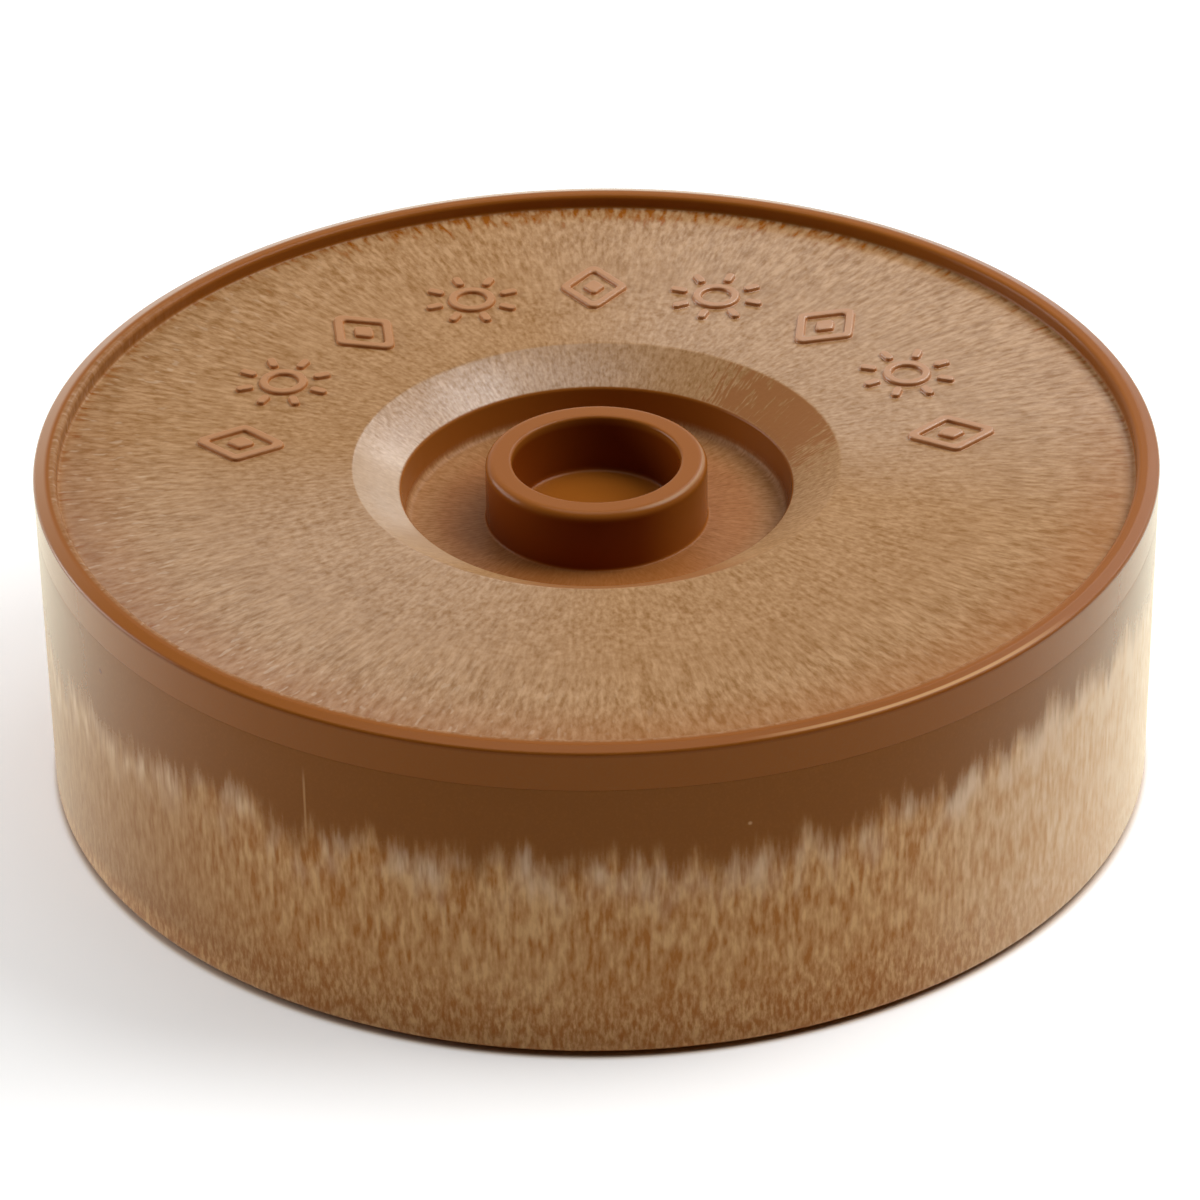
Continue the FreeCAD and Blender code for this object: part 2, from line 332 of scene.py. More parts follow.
def turned(profile, turns):
    """Surface of revolution: a point of the profile at (radius, height) goes to radius times
    cosine and sine of the angle, at the same height. The profile starts and ends on the axis, and
    each end is one point."""
    angle = np.linspace(0, 2 * math.pi, turns, endpoint=False)
    radius, height = profile[1:-1, :1], profile[1:-1, 1:]
    rings = np.stack(
        [radius * np.cos(angle), radius * np.sin(angle), height + 0 * angle], axis=-1
    )
    points = rings.reshape(-1, 3)
    poles = [[0, 0, profile[0, 1]], [0, 0, profile[-1, 1]]]
    low, high = len(points), len(points) + 1
    ring = np.arange(turns)
    following = (ring + 1) % turns
    last = len(points) - turns
    fans = [np.stack([following, ring, np.full(turns, low)], axis=-1)]
    fans.append(np.stack([last + ring, last + following, np.full(turns, high)], axis=-1))
    faces = grid_faces(len(rings), turns, False) + np.concatenate(fans).tolist()
    return np.concatenate([points, poles]), faces


def offset_polygon(polygon, offsets, softness, steps=6):
    """A convex polygon moved outwards by each offset, with rounded corners: every side moves along
    its own normal, and the corner's rounding grows with the offset, so that lines stay parallel."""
    sides = unit(np.roll(polygon, -1, axis=0) - polygon)
    normals = np.stack([sides[:, 1], -sides[:, 0]], axis=-1)
    before = np.roll(normals, 1, axis=0)
    mitre = (before + normals) / (1 + np.sum(before * normals, axis=-1, keepdims=True))
    corners = polygon + offsets[:, None, None] * mitre
    rounding = np.maximum(softness, softness + offsets)[:, None]
    previous, following = np.roll(corners, 1, axis=1), np.roll(corners, -1, axis=1)
    return corner_arcs(previous, corners, following, rounding, steps).reshape(len(offsets), -1, 2)


def offset_circle(radius, offsets, steps=48):
    """Circles about the origin, each an offset larger than the given radius."""
    angle = np.linspace(0, 2 * math.pi, steps, endpoint=False)
    return (radius + offsets)[:, None, None] * np.stack([np.cos(angle), np.sin(angle)], axis=-1)


def raised_line(relief):
    """Cross-section of a raised line, from its outer foot over the top to its inner foot, as
    offsets from the middle line and heights above the plate."""
    half, foot = relief.stroke / 2, relief.stroke / 2 + relief.root_round
    side = [
        (foot, -relief.sink, 0),
        (half, 0, relief.root_round),
        (half - relief.draft, relief.height, relief.edge_round),
    ]
    other = [(-offset, height, rounding) for offset, height, rounding in reversed(side)]
    return outline(side + other, relief.sink / 4, steps=5)


def raised_edge(relief, inwards):
    """Cross-section of the edge of a solid boss, from its foot up and inwards by a depth."""
    side = [
        (relief.root_round, -relief.sink, 0),
        (0, 0, relief.root_round),
        (-relief.draft, relief.height, relief.edge_round),
        (-inwards, relief.height, 0),
    ]
    return outline(side, relief.sink / 4, steps=5)


def turned_by(turn):
    """Matrix that turns rows of flat points anticlockwise."""
    return np.array([[math.cos(turn), math.sin(turn)], [-math.sin(turn), math.cos(turn)]])


def placed(flat, heights, relief, plate_top, spin, azimuth):
    """Rings of flat points, each at its own height, turned about their own middle by spin, moved
    out along the lid's radius and turned with it to the given azimuth."""
    out = flat @ turned_by(spin) + np.array([relief.circle, 0])
    level = np.broadcast_to(heights[:, None, None] + plate_top, flat.shape[:2] + (1,))
    return np.concatenate([out @ turned_by(azimuth), level], axis=-1)


def merged(parts):
    """Points and faces of several parts in one list each."""
    points, faces, start = [], [], 0
    for part_points, part_faces in parts:
        points.append(part_points)
        faces += [[start + i for i in face] for face in part_faces]
        start += len(part_points)
    return np.concatenate(points), faces


def loop_part(rings):
    """A raised line that runs round: both ways of the grid are closed."""
    rows, columns = rings.shape[:2]
    return rings.reshape(-1, 3), grid_faces(rows, columns, True)


def boss_part(rings):
    """A solid boss: the grid's first and last rings are closed by flat faces."""
    rows, columns = rings.shape[:2]
    faces = grid_faces(rows, columns, False)
    faces.append(list(range(columns))[::-1])
    faces.append([(rows - 1) * columns + i for i in range(columns)])
    return rings.reshape(-1, 3), faces


# ---- shader nodes ------------------------


class Value:
    """An output of a shader node. Each step of arithmetic on it adds a node to the same tree."""

    def __init__(self, socket):
        self.socket = socket

    def __getitem__(self, name):
        """Another output of the same node."""
        return Value(self.socket.node.outputs[name])

    def node(self, kind, inputs, output=0, **settings):
        """An output of a new node in the same tree."""
        return node(self.socket.id_data, kind, inputs, output, **settings)

    def math(self, operation, *values):
        return self.node("ShaderNodeMath", enumerate(values), operation=operation)

    def __add__(self, other):
        return self.math("ADD", self, other)

    def __mul__(self, other):
        return self.math("MULTIPLY", self, other)

    def __sub__(self, other):
        return self.math("SUBTRACT", self, other)

    def __rsub__(self, other):
        return self.math("SUBTRACT", other, self)

    def most(self, *others):
        """The largest of this value and others."""
        largest = self
        for other in others:
            largest = self.math("MAXIMUM", largest, other)
        return largest

    def up_to(self, limit):
        return self.math("MINIMUM", self, limit)

    def ramp(self, low, high, to_low=0.0, to_high=1.0):
        """Smooth step from one value to another."""
        sockets = {"Value": self, "From Min": low, "From Max": high}
        sockets.update({"To Min": to_low, "To Max": to_high})
        return self.node("ShaderNodeMapRange", sockets, interpolation_type="SMOOTHSTEP")

    def band(self, low, high, soft):
        """One between the two bounds and nought outside them, with soft ends."""
        rise = self.ramp(low - soft / 2, low + soft / 2)
        return rise * self.ramp(high + soft / 2, high - soft / 2)

    def mix(self, first, second):
        """Colour that is this share of the way from one to another."""
        return self.node("ShaderNodeMix", {0: self, 6: first, 7: second}, 2, data_type="RGBA")

    def vector(self, operation, other=(0, 0, 0), output=0):
        return self.node("ShaderNodeVectorMath", {0: self, 1: other}, output, operation=operation)

    def length(self):
        return self.vector("LENGTH", output=1)

    def dot(self, other):
        return self.vector("DOT_PRODUCT", other, output=1)

    def scaled(self, scale):
        """This vector times a number."""
        return self.node("ShaderNodeVectorMath", {0: self, "Scale": scale}, operation="SCALE")

    def drawn(self, across, distance, along):
        """Noise place on the wall of a cylinder: this direction times the cells to a radian
        across, and the distance times the cells to a millimetre along."""
        lift = self.node("ShaderNodeCombineXYZ", {2: distance * along})
        return self.scaled(across).vector("ADD", lift)

    def noise(self, detail, roughness, scale=1.0):
        """Noise about nought at the place that this vector gives."""
        sockets = {"Vector": self, "Scale": scale, "Detail": detail, "Roughness": roughness}
        return self.node("ShaderNodeTexNoise", sockets) - 0.5


def feed(socket, value):
    """Links a socket to a value, or sets what it holds."""
    if isinstance(value, Value):
        socket.id_data.links.new(value.socket, socket)
    elif hasattr(socket.default_value, "__len__") and len(socket.default_value) == 4:
        socket.default_value = (*value[:3], 1)
    else:
        socket.default_value = value


def node(tree, kind, inputs=(), output=0, **settings):
    """An output of a new node. Its settings are named, and its inputs are named or numbered."""
    made = tree.nodes.new(kind)
    for name, value in settings.items():
        setattr(made, name, value)
    for key, value in dict(inputs).items():
        feed(made.inputs[key], value)
    return Value(made.outputs[output]) if made.outputs else None


def layered(colour, layers):
    """A colour below a stack of (mask, share, colour) layers, the last one on top."""
    for mask, share, layer in layers:
        colour = (mask * share).mix(colour, layer)
    return colour


def group(name, inputs, fill):
    """A node group with a Vector input and named float inputs. Its outputs are the named values
    that fill makes of them."""
    tree = bpy.data.node_groups.new(name, "ShaderNodeTree")
    tree.interface.new_socket("Vector", in_out="INPUT", socket_type="NodeSocketVector")
    for each in inputs:
        tree.interface.new_socket(each, in_out="INPUT", socket_type="NodeSocketFloat")
    made = fill(node(tree, "NodeGroupInput"))
    for each, value in made.items():
        kind = "NodeSocketVector" if value.socket.type == "VECTOR" else "NodeSocketFloat"
        tree.interface.new_socket(each, in_out="OUTPUT", socket_type=kind)
    node(tree, "NodeGroupOutput", made)


def flow_group():
    """Where a point lies in the flow that filled the mould. The gate is on the axis, and the melt
    ran out along the floor and up the wall, so the distance run is radius plus height. Grain and
    Dash are noises whose cells are so many to a radian across the flow and to a millimetre of
    run along it: Grain is fine and nearly round, and Dash is longer, for the drawn-out marks.
    Spark picks out a few bright marks."""

    def fill(entry):
        x, y, z = entry.node("ShaderNodeSeparateXYZ", {0: entry["Vector"].scaled(1 / MM)})
        flat = x.node("ShaderNodeCombineXYZ", {0: x, 1: y})
        radius, spoke = flat.length(), flat.vector("NORMALIZE")
        run = radius + z + entry["Seed"]

        def marks(finer, along, detail, roughness=0.5):
            place = spoke.drawn(entry["Around"] * finer, run, along)
            return place.noise(detail, roughness)

        inner, outer = marks(1.0, 0.75, 2.0, 0.55), marks(1.7, 0.45, 3.0, 0.6)
        return {
            "Radius": radius,
            "Height": z,
            "Spoke": spoke,
            "Grain": (outer - inner) * radius.ramp(52.0, 78.0) + inner,
            "Dash": marks(1.2, 0.22, 1.0),
            "Spark": marks(1.6, 0.45, 0.0).ramp(0.16, 0.30),
        }

    group("mould_flow", ["Around", "Seed"], fill)


def skin_group():
    """Even clouding of a moulded skin, its fine grain, and the shallow peel of its surface."""

    def fill(entry):
        place = entry["Vector"].scaled(1 / MM)
        return {
            "Cloud": place.noise(3.0, 0.55, scale=0.09),
            "Grain": place.noise(2.0, 0.6, scale=2.2),
            "Peel": place.noise(2.0, 0.5, scale=0.9),
        }

    group("moulded_skin", [], fill)


def placed_group(tree, name, **inputs):
    """Outputs of a node group in a material, where it reads object coordinates."""
    inputs["Vector"] = node(tree, "ShaderNodeTexCoord", output="Object")
    return node(tree, "ShaderNodeGroup", inputs.items(), node_tree=bpy.data.node_groups[name])


def new_material(name):
    """A material with an empty tree."""
    material = bpy.data.materials.new(name)
    material.use_nodes = True
    material.node_tree.nodes.clear()
    return material


BOWL_WALL_RADIUS = 94.0  # millimetres, for lengths round the bowl's wall
BUMP_DEPTH = 0.05 * MM
SMOOTH_ROUGHNESS = 0.24


class Spot:
    """A point of a turned piece: its radius and height in millimetres, its direction from the
    axis, and the noises there."""

    def __init__(self, tree, around, seed):
        flow = placed_group(tree, "mould_flow", Around=around, Seed=seed)
        skin = placed_group(tree, "moulded_skin")
        self.tree = tree
        self.radius, self.height, self.spoke = flow["Radius"], flow["Height"], flow["Spoke"]
        self.grain, self.dash, self.spark = flow["Grain"], flow["Dash"], flow["Spark"]
        self.cloud, self.fleck, self.peel = skin["Cloud"], skin["Grain"], skin["Peel"]

    def toward(self, degrees):
        """Cosine of the angle between the point's direction and an azimuth."""
        turn = math.radians(degrees)
        return self.spoke.dot((math.cos(turn), math.sin(turn), 0.0))

    def around(self, degrees):
        """Millimetres round the bowl's wall from an azimuth, true near that azimuth."""
        return self.toward(degrees + 90) * BOWL_WALL_RADIUS

    def strands(self, across, along, detail):
        """Noise drawn up the wall, with so many cells to a radian and to a millimetre up."""
        return self.spoke.drawn(across, self.height, along).noise(detail, 0.6)

    def tone(self, clouding, crisp, drawn):
        """Place between the dark and the pale of the foamed skin."""
        return self.dash * drawn + (self.grain * crisp + (self.cloud * clouding + 0.5))

    def flecks(self, most):
        """Fine pale flecks in smooth resin."""
        return self.fleck.ramp(-0.05, 0.25, 0.0, most)

    def grazing(self, low, high, most):
        """Share of the coat that shows: hardly any head-on, all of it where the surface turns
        away."""
        facing = node(self.tree, "ShaderNodeLayerWeight", {"Blend": 0.5}, "Facing")
        return facing.ramp(low, high, 0.0, most)

    def plastic(self, base, foamed_roughness, smooth, coat):
        """The moulded plastic's shader: a base with little gloss, a thin glossy coat where the
        mould was polished, and a bump of the grain where the skin isn't smooth and of a shallow
        peel all over."""
        height = self.grain * (1.0 - smooth) + self.peel * 0.4
        rough = smooth * (SMOOTH_ROUGHNESS - foamed_roughness) + foamed_roughness
        bump = {"Strength": 1.0, "Distance": BUMP_DEPTH, "Height": height}
        sockets = {
            "Base Color": base,
            "Roughness": self.fleck * 0.12 + rough,
            "Specular IOR Level": 0.1,
            "Coat Weight": coat,
            "Coat Roughness": 0.2,
            "Coat IOR": 1.5,
            "Normal": node(self.tree, "ShaderNodeBump", bump),
        }
        shader = node(self.tree, "ShaderNodeBsdfPrincipled", sockets)
        node(self.tree, "ShaderNodeOutputMaterial", {"Surface": shader})


# Zones of the lid in millimetres from the axis: bounds of a ramp, or of a band and its softness.
KNOB_ENDS = (19.2, 18.9)
KNOB_RING = (13.3, 18.95, 0.3)
KNOB_TOP_RING = (14.4, 18.95, 0.3)
KNOB_OUTER_EDGE = (17.9, 18.4, 0.3)
WELL_FLOOR_ENDS = (33.0, 32.4)
WELL_WALL = (32.5, 33.5, 0.3)
BEVEL = (33.6, 41.4, 0.4)
PLATE_STARTS = (41.2, 41.8)
ORNAMENT_ROW = (50.0, 72.0, 0.5)
PLATE_ENDS = (91.0, 90.0)
BEAD_STARTS = (91.0, 91.3)
BEAD_ROOT = (91.2, 92.5, 0.5)
BEAD_RIDGE = (92.8, 93.6)
BEAD_FALL = (93.0, 94.0)
BEAD_OUTER_EDGE = (94.3, 94.85, 0.25)
BAND_STARTS = (94.5, 94.9)
# Zones of the lid in millimetres above the table.
UNDERSIDE_ENDS = (46.0, 46.3)
WELL_FLOOR_BELOW = (49.0, 48.0)
KNOB_STEEP_BELOW = (56.7, 55.4)
KNOB_ROUNDING = (55.8, 56.4)
KNOB_TOP = (55.4, 56.2)
ORNAMENT_SIDES = (56.705, 56.74)
ORNAMENT_TOPS = (57.05, 57.35)
BEAD_LIP = (58.1, 58.7, 0.3)
BEAD_TOP = (58.5, 58.9)
BEAD_CROWN = (58.6, 58.9)
BAND_BELOW = (58.9, 58.2)
# Azimuths in degrees: the ornaments stand at the back.
FRONT, BACK = 270, 90


def lid_foam(spot, finish):
    """Foamed skin of the plate, the bevel and the well's floor: the marks are crisper and longer
    towards the rim and redder in front, the left of the bevel carries a painted highlight, and
    stretches of the bevel are smooth."""
    radius, toward = spot.radius, spot.toward
    tone = spot.tone(0.5, radius.ramp(30.0, 86.0, 1.6, 2.3), radius.ramp(40.0, 88.0, 0.7, 1.5))
    foam = tone.mix(finish.foam_dark, finish.foam_light)
    rusty = radius.ramp(74.0, 90.0, 0.0, 0.42) * toward(FRONT).ramp(-0.6, 0.4)
    foam = rusty.mix(foam, finish.resin)

    patch = toward(275).ramp(0.55, 0.9) * radius.ramp(28.0, 24.0)
    in_well = tone.mix(finish.well_dark, finish.well_light)
    in_well = (patch * 0.5).mix(in_well, finish.resin)
    in_well = radius.ramp(25.0, 30.0, 0.0, 0.5).mix(in_well, foam)
    on_floor = radius.ramp(*WELL_FLOOR_ENDS) * spot.height.ramp(*WELL_FLOOR_BELOW)

    on_bevel = radius.band(*BEVEL)
    torn = (spot.dash * 0.35 + toward(30)).ramp(0.90, 0.96)
    sparks = spot.spark * radius.ramp(60.0, 88.0) * toward(200).ramp(0.1, 0.8, 0.25, 1.0)
    layers = [
        (on_floor, 1.0, in_well),
        # Painted highlight: the left of the bevel is made paler with the tips colour.
        (on_bevel * toward(195).ramp(0.7, 0.97), 0.32, finish.tips),
        (on_bevel * toward(278).ramp(0.80, 0.97).most(torn), 1.0, finish.bevel_plain),
        (sparks, 0.28, finish.tips),
    ]
    return layered(foam, layers)


def lid_smooth(spot):
    """One where the lid is smooth resin: the knob, the well's wall and the bead, with a ragged
    edge where the last marks run out on the plate beside the bead."""
    radius = spot.radius
    reached = radius - (spot.grain * 12.0 + spot.dash * 22.0)
    at_bead = (spot.toward(92).ramp(0.72, 1.0) * 3.5 + reached).ramp(90.5, 97.5)
    knob, wall = radius.ramp(*KNOB_ENDS), radius.band(*WELL_WALL)
    return at_bead.most(knob, wall, radius.ramp(*BEAD_STARTS))


def lid_colour(spot, finish, smooth):
    """Colour of the lid: resin over foam, then the ornaments, the knob, the bead and the band, with
    painted highlights and shade on the ornaments, the knob and the bead.
    """
    radius, height, toward = spot.radius, spot.height, spot.toward
    foamed = radius.band(*BEAD_ROOT) * toward(235).ramp(-0.2, 0.5)
    base = (smooth - foamed * 0.8).mix(lid_foam(spot, finish), finish.resin)
    # Painted highlight along the bead's ridge at the back left.
    bead_ridge_highlight = radius.ramp(*BEAD_RIDGE) * toward(128).ramp(0.0, 0.8) * height.ramp(*BEAD_TOP)
    # Painted shade and highlight on the ornaments: sides tinted redder as shaded, tops paler as
    # lit.
    raised = radius.band(*ORNAMENT_ROW) * height.ramp(*ORNAMENT_SIDES)
    # Painted highlight on the knob's outer edge on the right.
    knob_edge_highlight = radius.band(*KNOB_OUTER_EDGE) * height.ramp(*KNOB_ROUNDING)
    # Painted shade on the knob's steep sides and on the wall of its cup, less of it on the key-lit
    # right.
    steep = radius.band(*KNOB_RING) * height.ramp(*KNOB_STEEP_BELOW)
    lit = toward(-18).ramp(0.6, 0.95) * radius.ramp(17.0, 18.0)
    # Painted highlight on the bead's outer edge at the front right.
    bead_edge_highlight = radius.band(*BEAD_OUTER_EDGE) * toward(304).ramp(0.93, 1.0)
    on_band = height.ramp(*BAND_BELOW) * radius.ramp(*BEAD_STARTS)
    layers = [
        (bead_ridge_highlight, 0.3, finish.tips),
        (raised, 0.75, finish.relief_side_shade),
        (raised * height.ramp(*ORNAMENT_TOPS), 0.75, finish.relief_top_highlight),
        (knob_edge_highlight * toward(-25).ramp(0.55, 0.95), 0.5, finish.foam_light),
        (steep * height.ramp(*UNDERSIDE_ENDS), 1.0 - lit, finish.shade),
        (bead_edge_highlight * height.ramp(*BEAD_CROWN), 0.65, finish.bowl_light),
        # Painted shade: a dark line just below the bead's outer edge.
        (height.band(*BEAD_LIP) * radius.ramp(*BAND_STARTS), 0.4, finish.shade),
        (on_band, spot.flecks(0.22), finish.foam_dark),
    ]
    return layered(base, layers)


def lid_coat(spot):
    """Weight of the lid's glossy coat: two broad lobes across the plate, one side of the bevel,
    the knob's top, the back of the bead, and the band where it turns away."""
    radius, height, toward = spot.radius, spot.height, spot.toward
    lobe = toward(43) * toward(43) * 1.6 - 0.5
    lobe = (toward(43) * 0.2 + lobe).up_to(0.9)
    on_plate = lobe * radius.ramp(*PLATE_STARTS) * radius.ramp(*PLATE_ENDS)
    glossy = radius.band(*BEVEL) * toward(150).ramp(0.05, 0.75) * radius.ramp(41.0, 36.0, 0.55)
    grainy = (on_plate.most(glossy) * (spot.grain * 2.0 + 1.0)).up_to(1.0)
    knob_top = radius.band(*KNOB_TOP_RING) * height.ramp(*KNOB_TOP) * 0.05
    outside = radius.ramp(94.6, 95.0) * spot.grazing(0.17, 0.80, 0.95)
    behind = radius.ramp(*BEAD_FALL) * toward(BACK).ramp(-0.3, 0.7) * height.ramp(*BEAD_CROWN)
    return grainy.most(knob_top, outside, behind)


def lid_material(finish):
    """Lid: a grain of gas marks drawn outwards, crisper towards the rim, where it breaks up into
    smooth resin, which also shows on the bead, the band, the well's wall and the knob."""
    spot = Spot(new_material("lid_foam").node_tree, around=60.0, seed=3.0)
    smooth = lid_smooth(spot)
    spot.plastic(lid_colour(spot, finish, smooth), 0.42, smooth, lid_coat(spot))


def above_front(spot, finish, hairs):
    """Height above the ragged front where the marks end, in millimetres: it leans across the
    bowl, is pushed up on the left and down in front, and breaks into clumps, wisps and hairs."""
    front = spot.toward(math.degrees(finish.front_azimuth)) * (finish.front_tilt / MM)
    front += finish.front_height / MM
    terms = [
        (spot.toward(200).ramp(0.60, 0.95), 3.0),
        (spot.toward(-66).ramp(0.88, 0.98), -1.2),
        (spot.strands(9.0, 0.02, 2.0), 16.0),
        (spot.strands(34.0, 0.05, 2.0), 9.5),
        (hairs, 5.5),
    ]
    for share, lift in terms:
        front += share * lift
    return spot.height - front


def bowl_foam(spot, finish, above, hairs):
    """Foamed skin of the bowl: finer marks below, drawn out above, rusty mottling near the foot,
    painted shade on the left and painted light on the right, and whitish tips along the front."""
    height = spot.height
    tone = spot.tone(0.7, height.ramp(6.0, 22.0, 1.9, 1.2), height.ramp(6.0, 20.0, 0.7, 2.0))
    tone = hairs * height.ramp(12.0, 30.0, 0.0, 1.2) + tone
    outer = spot.radius.ramp(60.0, 90.0)
    # Painted light: the wall is paler on the right, where the key light falls.
    pale = spot.toward(-15).ramp(0.65, 0.97) * outer
    tip = above.ramp(-11.0, -3.5) * above.ramp(2.5, -1.0)
    tip *= spot.strands(20.0, 0.10, 1.0) * 2.6 + 0.24
    tip *= hairs * 2.2 + 1.0
    # Painted shade: the wall is darker on the left.
    left = spot.toward(180).ramp(0.45, 0.85)
    layers = [
        (height.ramp(18.0, 5.0) * spot.grain.ramp(0.12, -0.16), 0.7, finish.rust),
        (left * outer * height.ramp(2.0, 7.0), 0.6, finish.bowl_left_shade),
        (pale, 0.6, tone.mix(finish.bowl_light, finish.bowl_pale_lit)),
        (tip, pale * 0.9 + 0.85, finish.bowl_tips),
    ]
    return layered(tone.mix(finish.bowl_dark, finish.bowl_light), layers)


def wall_marks(spot, finish):
    """Layers for a dark fleck, a pale fleck and a fine upright scratch on the bowl's wall."""

    def fleck(degrees, level, radius):
        sockets = {0: spot.around(degrees), 1: spot.height - level}
        away = spot.height.node("ShaderNodeCombineXYZ", sockets).length()
        return away.ramp(radius + 0.2, radius - 0.2) * spot.toward(degrees).ramp(0.0, 0.1)

    scratch = spot.around(-120).band(-0.2, 0.2, 0.25) * spot.height.band(34.0, 47.5, 4.0)
    return [
        # A dark fleck in the wall, coloured with the shade colour.
        (fleck(-149.5, 46.3, 0.5), 1.0, finish.shade),
        (fleck(-75.6, 43.4, 0.3), 0.6, finish.bowl_light),
        (scratch * spot.toward(-120).ramp(0.0, 0.1), 0.35, finish.bowl_light),
    ]


def bowl_material(finish):
    """Bowl: swirl marks that climb the wall to a ragged front of soft pale clumps, and smooth
    resin above it."""
    spot = Spot(new_material("bowl_foam").node_tree, around=70.0, seed=11.0)
    hairs = spot.strands(105.0, 0.16, 2.0)
    above = above_front(spot, finish, hairs)
    resin = above.ramp(-5.5, 3.5)
    # Painted shade: the lowest part of the wall, where it meets the floor, is darkened with resin
    # and loses its coat.
    foot = spot.height.ramp(1.6, 0.3)
    layers = [
        (resin, 1.0, spot.flecks(0.14).mix(finish.bowl_resin, finish.bowl_dark)),
        (foot, 0.7, finish.bowl_resin),
    ]
    base = layered(bowl_foam(spot, finish, above, hairs), layers + wall_marks(spot, finish))
    spot.plastic(base, 0.40, resin, spot.grazing(0.20, 0.80, 0.9) * (1.0 - foot))


BRIGHT_FLOOR_SIDE = math.radians(-70)  # azimuth on which the floor near the object is brightest
GLOW_THROWN = 0.4  # share of the floor's glow that lights the object


def floor_material(glow, footprint):
    """Pale floor that keeps the object's shadow. Its glow is weaker in the light that it throws on
    the object, and grows far away, so that it stays white at low views. It stops short of the
    footprint, so that the gap below the object stays dark, apart from a hidden glow within the foot
    ring that lights the underside. Near the footprint the floor is tinted warm brown, a painted
    reflection of the bowl."""
    material = new_material("pale_floor")
    tree = material.node_tree
    camera = node(tree, "ShaderNodeLightPath", output="Is Camera Ray")
    mirrored = camera["Is Glossy Ray"]
    seen = camera.most(mirrored)
    place = node(tree, "ShaderNodeTexCoord", output="Object")
    reach = place.length()
    around = reach.ramp(footprint - 0.8 * MM, footprint + 1.0 * MM)
    nearer = place.dot((math.cos(BRIGHT_FLOOR_SIDE), math.sin(BRIGHT_FLOOR_SIDE), 0.0))
    shine = (seen * (1.0 - GLOW_THROWN) + GLOW_THROWN) * around
    shine *= nearer.ramp(50.0 * MM, 92.0 * MM, glow, glow + 0.13)
    shine += reach.ramp(0.35, 1.0, 0.0, 1.0 - glow) * seen
    shine += reach.ramp(footprint - 3.0 * MM, footprint - 4.0 * MM, 0.0, 0.5)
    white = mirrored.mix((1.0, 1.0, 1.0), (1.0, 0.985, 0.82))
    pale = mirrored.mix((0.85, 0.85, 0.84), (0.85, 0.84, 0.70))
    # Painted reflection of the bowl: the floor is tinted warm brown where it meets the footprint.
    albedo, tint = around.mix((0.82, 0.70, 0.58), pale), around.mix((1.0, 0.82, 0.62), white)
    diffuse = node(tree, "ShaderNodeBsdfDiffuse", {"Color": albedo})
    light = node(tree, "ShaderNodeEmission", {"Color": tint, "Strength": shine})
    lit = node(tree, "ShaderNodeAddShader", {0: diffuse, 1: light})
    below = node(tree, "ShaderNodeNewGeometry", output="Backfacing")
    clear = node(tree, "ShaderNodeBsdfTransparent")
    shown = node(tree, "ShaderNodeMixShader", {0: below, 1: lit, 2: clear})
    node(tree, "ShaderNodeOutputMaterial", {"Surface": shown})
    return material


# ---- operators ------------------------


class SERVER_OT_finishes(bpy.types.Operator):
    """Makes the node groups and the two plastics"""

    bl_idname = "server.finishes"
    bl_label = "Plastics"

    def execute(self, context):
        finish = context.scene.server_finish
        flow_group()
        skin_group()
        lid_material(finish)
        bowl_material(finish)
        return {"FINISHED"}


class SERVER_OT_bowl(bpy.types.Operator):
    """Turns the bowl with its drafted wall, foot ring and flat rim"""

    bl_idname = "server.bowl"
    bl_label = "Bowl"

    def execute(self, context):
        outer, bowl = context.scene.server_outer, context.scene.server_bowl
        seam = outer.rim_radius - outer.band_set_in
        foot = outer.rim_radius - outer.bead_width - bowl.nest_clearance
        inner = seam - outer.base_wall
        under, floor = bowl.foot_height, bowl.foot_height + bowl.floor
        corners = [
            (0, under + outer.gate_depth, 0),
            (outer.gate_radius - outer.gate_draft, under + outer.gate_depth, 0),
            (outer.gate_radius, under, 0),
            (foot - bowl.foot_width, under, 0),
            (foot - bowl.foot_width, 0, 0),
            (foot, 0, 0),
            (foot, under, 0),
            (seam - outer.base_taper, under, bowl.outer_corner),
            (seam, outer.seam_height - outer.seam_chamfer, 0),
            (seam - outer.seam_chamfer, outer.seam_height, 0),
            (inner, outer.seam_height, bowl.lip_round),
            (inner - outer.base_taper, floor, bowl.inner_corner),
            (0, floor, 0),
        ]
        points, faces = turned(outline(corners, outer.micro_round), outer.turns)
        piece = finished("bowl_shell", points, faces, "base")
        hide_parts("base_bowl")
        return {"FINISHED"}


